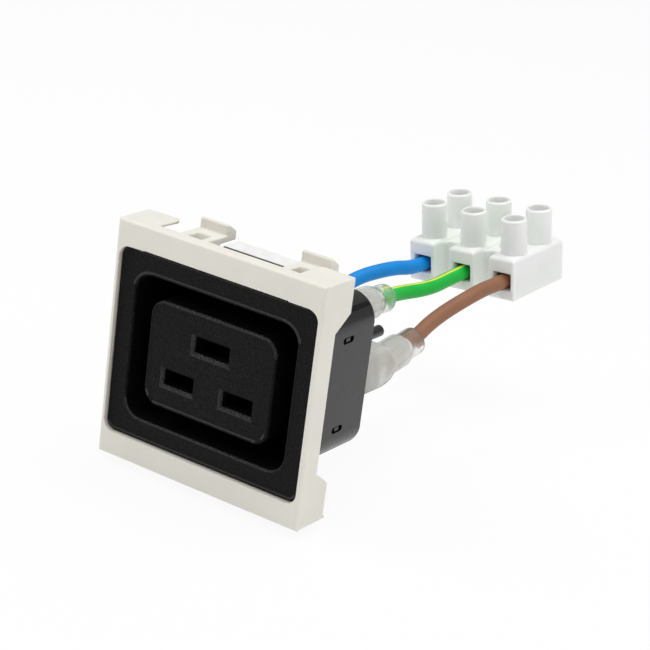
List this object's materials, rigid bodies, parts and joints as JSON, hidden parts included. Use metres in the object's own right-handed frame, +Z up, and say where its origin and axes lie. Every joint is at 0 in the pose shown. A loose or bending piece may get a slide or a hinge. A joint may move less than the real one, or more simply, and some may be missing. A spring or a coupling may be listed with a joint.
{
  "type": "c19 power connector",
  "caption": "Black C19 socket outlet in a white square snap-in frame, with short insulated wires to a small screw terminal block.",
  "frame": {"origin": "centre of the square frame's front face", "axes": "-Y points out of the socket's front face, +Z up (earth slot above the other two), +X to the right seen from the front"},
  "size_m": [0.045, 0.0983, 0.0476],
  "materials": {
    "frame_plastic": "smooth warm-white moulding, semi-matt",
    "outlet_plastic": "black moulding: fine spark-eroded faces, glossy edges and sides",
    "label_paper": "blank white adhesive label",
    "block_plastic": "natural translucent nylon, slightly green",
    "contact_brass": "stamped contact, bright",
    "tinned_brass": "tinned stamping, dull bright",
    "clear_nylon": "clear nylon insulator, glossy",
    "brown_insulation": "brown wire insulation, satin",
    "blue_insulation": "blue wire insulation, satin",
    "green_insulation": "green wire insulation with a yellow stripe, satin",
    "copper_strand": "stranded copper",
    "insert_brass": "drawn brass clamp bar",
    "screw_steel": "zinc-plated slotted grub screws"
  },
  "bodies": {
    "root": {"module_frame": "frame_plastic", "outlet_body": "outlet_plastic", "rear_cover": "outlet_plastic", "blank_label": "label_paper", "terminal_block": "block_plastic", "contact_line": "contact_brass", "receptacle_line": "tinned_brass", "sleeve_line": "clear_nylon", "wire_line": "brown_insulation", "line_core_front": "copper_strand", "line_core_rear": "copper_strand", "insert_line": "insert_brass", "clamp_screw_line_front": "screw_steel", "clamp_screw_line_rear": "screw_steel", "contact_neutral": "contact_brass", "receptacle_neutral": "tinned_brass", "sleeve_neutral": "clear_nylon", "wire_neutral": "blue_insulation", "neutral_core_front": "copper_strand", "neutral_core_rear": "copper_strand", "insert_neutral": "insert_brass", "clamp_screw_neutral_front": "screw_steel", "clamp_screw_neutral_rear": "screw_steel", "contact_earth": "contact_brass", "receptacle_earth": "tinned_brass", "sleeve_earth": "clear_nylon", "wire_earth": "green_insulation", "earth_core_front": "copper_strand", "earth_core_rear": "copper_strand", "insert_earth": "insert_brass", "clamp_screw_earth_front": "screw_steel", "clamp_screw_earth_rear": "screw_steel"}
  },
  "joints": []
}
